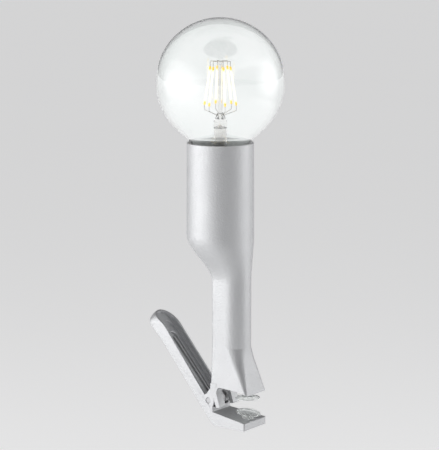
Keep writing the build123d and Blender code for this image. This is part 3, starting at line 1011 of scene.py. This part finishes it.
@dataclass
class GlobeBulb(Assembly):
    """The globe, its foot, the lit strips and the screw cap."""

    wall: float = 0.9 * MM
    neck_radius: float = 12.2 * MM
    neck_wide: float = 14.0 * MM
    neck_top: float = 5.5 * MM
    neck_step: float = 2.5 * MM
    blend: float = 22.0 * MM
    slope: float = math.asin(39.0 / 47.5)
    globe_steps: int = 56
    blend_steps: int = 14
    steps: int = 128
    pitch: float = 3.629 * MM
    crest: float = 13.1 * MM
    root: float = 12.35 * MM
    ridges: int = 6
    ridge_steps: int = 10
    lead_in: float = 0.6
    cap_steps: int = 72
    cap_sheet: float = 0.35 * MM
    collar: float = 13.0 * MM
    collar_height: float = 3.4 * MM
    collar_rises: tuple[float, float] = (1.0 * MM, 2.4 * MM)

    def build(self, nodes: dict[str, bpy.types.Object]) -> None:
        """Dresses the inner parts and makes the glass and the threaded cap.

        Args:
            nodes: the frame's nodes by name.
        """
        self.dress_nodes(nodes, {"bulb_filaments": "filament", "bulb_filament_ends": "amber_tip",
                                 "bulb_support_wires": "fine_wire", "bulb_lead_wires": "fine_wire",
                                 "bulb_stem": "stem_glass", "bulb_cap_insulator": "black_glass",
                                 "bulb_cap_contact": "solder", "bulb_driver": "circuit_board"})
        nodes["bulb_stem"].visible_shadow = False
        self.make_glass()
        self.make_cap()

    def make_glass(self) -> None:
        """The globe and its neck, one thin closed wall."""
        low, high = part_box("bulb_glass")
        radius = (high.x - low.x) / 2
        centre = Vector(((low.x + high.x) / 2, 0, high.z - radius))
        end = centre + Vector((radius * math.cos(self.slope), 0, -radius * math.sin(self.slope)))
        outward = Vector((math.cos(self.slope), 0, -math.sin(self.slope)))
        neck = [centre + Vector((self.neck_wide, 0, low.z + self.neck_top - centre.z)),
                centre + Vector((self.neck_radius, 0, low.z + self.neck_step - centre.z)),
                centre + Vector((self.neck_radius, 0, low.z - centre.z))]
        shape = Shape()
        tip = shape.bm.verts.new(centre + Vector((0, 0, radius)))
        tip = shape.arc(tip, centre, math.pi / 2 + self.slope, self.globe_steps)
        tip = shape.arc(tip, end + outward * self.blend, -self.slope, self.blend_steps)
        shape.runs(tip, neck)
        shape.lathe(centre, self.steps)
        bmesh.ops.solidify(shape.bm, geom=shape.bm.faces[:], thickness=self.wall)
        piece = shape.finish("globe_glass")
        piece.visible_shadow = False
        self.palette.dress(piece, "glass")
        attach(piece, Body.BULB.value)
        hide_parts("bulb_glass")
        LOG.info("globe made")

    def make_cap(self) -> None:
        """The cap with a true helical thread, turned as one profile that climbs a pitch."""
        low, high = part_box("bulb_cap")
        middle = (low + high) / 2
        start = low.z - self.lead_in * self.pitch
        mean, swing = (self.crest + self.root) / 2, (self.crest - self.root) / 2
        points = []
        for i in range(self.ridges * self.ridge_steps + 1):
            out = middle.x + mean - swing * math.cos(math.tau * i / self.ridge_steps)
            points.append(Vector((out, 0, start + self.pitch * i / self.ridge_steps)))
        shape = Shape()
        shape.runs(shape.bm.verts.new(points[0]), points[1:])
        bmesh.ops.spin(shape.bm, geom=shape.bm.verts[:] + shape.bm.edges[:],
                       cent=(middle.x, middle.y, 0), axis=(0, 0, 1),
                       dvec=(0, 0, self.pitch / self.cap_steps), angle=math.tau,
                       steps=self.cap_steps, use_merge=False)
        bmesh.ops.remove_doubles(shape.bm, verts=shape.bm.verts, dist=TOUCH)
        for height, side in ((low.z, -1.0), (high.z - self.collar_height, 1.0)):
            bmesh.ops.bisect_plane(shape.bm, plane_co=(0, 0, height), plane_no=(0, 0, side),
                                   geom=shape.bm.verts[:] + shape.bm.edges[:] + shape.bm.faces[:],
                                   clear_outer=True)
        rim = [e for e in shape.bm.edges if e.is_boundary and all(v.co.z > middle.z for v in e.verts)]
        for rise in self.collar_rises:
            done = bmesh.ops.extrude_edge_only(shape.bm, edges=rim)
            verts = [g for g in done["geom"] if isinstance(g, bmesh.types.BMVert)]
            rim = [g for g in done["geom"]
                   if isinstance(g, bmesh.types.BMEdge) and all(v in verts for v in g.verts)]
            bmesh.ops.translate(shape.bm, verts=verts, vec=(0, 0, rise))
            for vert in verts:
                arm = Vector((vert.co.x - middle.x, vert.co.y, 0))
                vert.co += arm.normalized() * (self.collar - arm.length)
        bmesh.ops.recalc_face_normals(shape.bm, faces=shape.bm.faces)
        bmesh.ops.solidify(shape.bm, geom=shape.bm.faces[:], thickness=self.cap_sheet)
        piece = shape.finish("screw_cap")
        self.palette.dress(piece, "nickel")
        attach(piece, Body.BULB.value)
        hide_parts("bulb_cap")
        LOG.info("screw cap made")


@dataclass
class Lampholder(Assembly):
    """The holder inside the tube and the screws that fix it."""

    finishes: dict[str, str] = field(default_factory=lambda: {
        "holder_base": "ceramic", "holder_insert": "ceramic", "holder_skirt": "ceramic",
        "holder_terminal_screws": "brass", "holder_screw_shell": "nickel",
        "holder_centre_contact": "brass", "holder_side_contact": "brass", "holder_nipple": "brass",
        "holder_nut": "steel", "holder_plate": "steel", "plate_screws": "steel", "earth_screw": "brass"})

    def build(self, nodes: dict[str, bpy.types.Object]) -> None:
        """Dresses the holder's nodes.

        Args:
            nodes: the frame's nodes by name.
        """
        self.dress_nodes(nodes, self.finishes)


# ---------------------------------------------------------------- studio


@dataclass(frozen=True)
class Softbox:
    """One soft light, where it stands and how bright it is.

    The turn is in degrees to the right of the camera's own direction, the reach is level, and the
    rise is above the point that it faces. The power is in watts.
    """

    name: str
    turn: float
    reach: float
    rise: float
    width: float
    height: float
    power: float


@dataclass
class Studio:
    """The floor, the room, the lights and the camera."""

    azimuth: float = math.radians(34.0)
    distance: float = 1.62
    rise: float = 0.389
    look_height: float = 0.1311
    aside: float = 0.0006
    lens: float = 177.6
    sensor: float = 36.0
    nearest: float = 0.05
    farthest: float = 100.0
    room: Colour = (0.24, 0.24, 0.245)
    through_glass: Colour = (0.67, 0.67, 0.68)
    floor_drop: float = 0.25
    floor_size: float = 60.0
    light_height: float = 0.16
    lights: tuple[Softbox, ...] = (Softbox("left_softbox", -72, 1.2, 0.05, 2.8, 1.5, 18.0),
                                   Softbox("right_softbox", 95, 1.3, 0.15, 1.6, 1.3, 7.6))
    even_middle: float = 0.08
    middle_gain: float = 2.2

    def bearing(self, turn: float) -> Vector:
        """A level direction.

        Args:
            turn: degrees to the right of the camera's own direction.

        Returns:
            The unit vector from the lamp.
        """
        angle = self.azimuth + math.radians(turn)
        return Vector((math.sin(angle), -math.cos(angle), 0))

    def build(self, axis_x: float, hinge_z: float) -> None:
        """Makes the stage.

        Args:
            axis_x: the tube axis's x.
            hinge_z: the hinge pin's height.
        """
        foot = Vector((axis_x, 0, hinge_z))
        self.make_camera(foot)
        self.make_floor()
        for box in self.lights:
            self.make_light(box, foot + Vector((0, 0, self.light_height)))
        self.make_room()
        bpy.context.scene.view_settings.view_transform = "Standard"

    def make_room(self) -> None:
        """The room's even light, paler where it is seen through glass."""
        world = bpy.data.worlds.new("studio")
        bpy.context.scene.world = world
        world.use_nodes = True
        nodes = Nodes(world.node_tree)
        backing = world.node_tree.nodes["Background"]
        passed = nodes.add("ShaderNodeLightPath").outputs["Transmission Depth"]
        seen = nodes.blend(nodes.math("MINIMUM", passed, 1.0), self.room, self.through_glass)
        nodes.join(seen, backing.inputs["Color"])
        backing.inputs["Strength"].default_value = 1.0

    def make_camera(self, foot: Vector) -> None:
        """The camera.

        Args:
            foot: the point on the tube's axis at the hinge's height.
        """
        data = bpy.data.cameras.new("camera")
        data.lens = self.lens
        data.sensor_width = self.sensor
        data.clip_start = self.nearest
        data.clip_end = self.farthest
        camera = bpy.data.objects.new("camera", data)
        camera.location = foot + self.bearing(0) * self.distance + Vector((0, 0, self.rise))
        target = foot - self.bearing(90) * self.aside + Vector((0, 0, self.look_height))
        camera.rotation_euler = (target - camera.location).to_track_quat("-Z", "Y").to_euler()
        bpy.context.scene.collection.objects.link(camera)
        bpy.context.scene.camera = camera

    def make_floor(self) -> None:
        """A wide pale floor."""
        low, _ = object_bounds()
        shape = Shape()
        bmesh.ops.create_grid(shape.bm, x_segments=1, y_segments=1, size=self.floor_size / 2,
                              matrix=Matrix.Translation((0, 0, low.z - self.floor_drop)))
        floor = shape.finish("floor")
        floor.data.materials.append(FloorPaint().make())
        floor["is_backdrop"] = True

    def make_light(self, box: Softbox, aim: Vector) -> None:
        """One soft light.

        Args:
            box: the light.
            aim: what it faces.
        """
        data = bpy.data.lights.new(box.name, "AREA")
        data.shape = "RECTANGLE"
        data.size, data.size_y = box.width, box.height
        data.energy = box.power
        self.soften(data)
        light = bpy.data.objects.new(box.name, data)
        light.location = aim + self.bearing(box.turn) * box.reach + Vector((0, 0, box.rise))
        light.rotation_euler = (aim - light.location).to_track_quat("-Z", "Y").to_euler()
        light.visible_camera = False
        light.visible_transmission = False
        bpy.context.scene.collection.objects.link(light)

    def soften(self, data: bpy.types.AreaLight) -> None:
        """Fades a softbox from its middle to its edges, as a diffuser cloth does.

        Args:
            data: the light.
        """
        data.use_nodes = True
        nodes = Nodes(data.node_tree)
        emission = data.node_tree.nodes["Emission"]
        across = nodes.add("ShaderNodeSeparateXYZ",
                           {"Vector": nodes.add("ShaderNodeNewGeometry").outputs["Parametric"]})
        from_middle = [nodes.math("ABSOLUTE", nodes.math("SUBTRACT", across.outputs[axis], 0.5))
                       for axis in ("X", "Y")]
        falls = [nodes.spread(part, 1.0, 0.0, self.even_middle, 0.5) for part in from_middle]
        fade = nodes.math("MULTIPLY", *falls)
        nodes.join(nodes.math("MULTIPLY", fade, self.middle_gain), emission.inputs["Strength"])


def main() -> None:
    """Loads the frame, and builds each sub-assembly and the studio."""
    logging.basicConfig(level=logging.INFO, format="%(name)s: %(message)s")
    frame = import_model()
    nodes = frame["nodes"]
    hinge = Vector(next(j["pos_m"] for j in frame["joints"] if j["name"] == "lever_hinge"))
    low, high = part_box("holder_plate")
    palette = Palette()
    ClipBody(palette).build(nodes)
    TorsionSpring(palette).build(hinge)
    GlobeBulb(palette).build(nodes)
    Lampholder(palette).build(nodes)
    Studio().build((low.x + high.x) / 2, hinge.z)


if __name__ == "__main__":
    main()
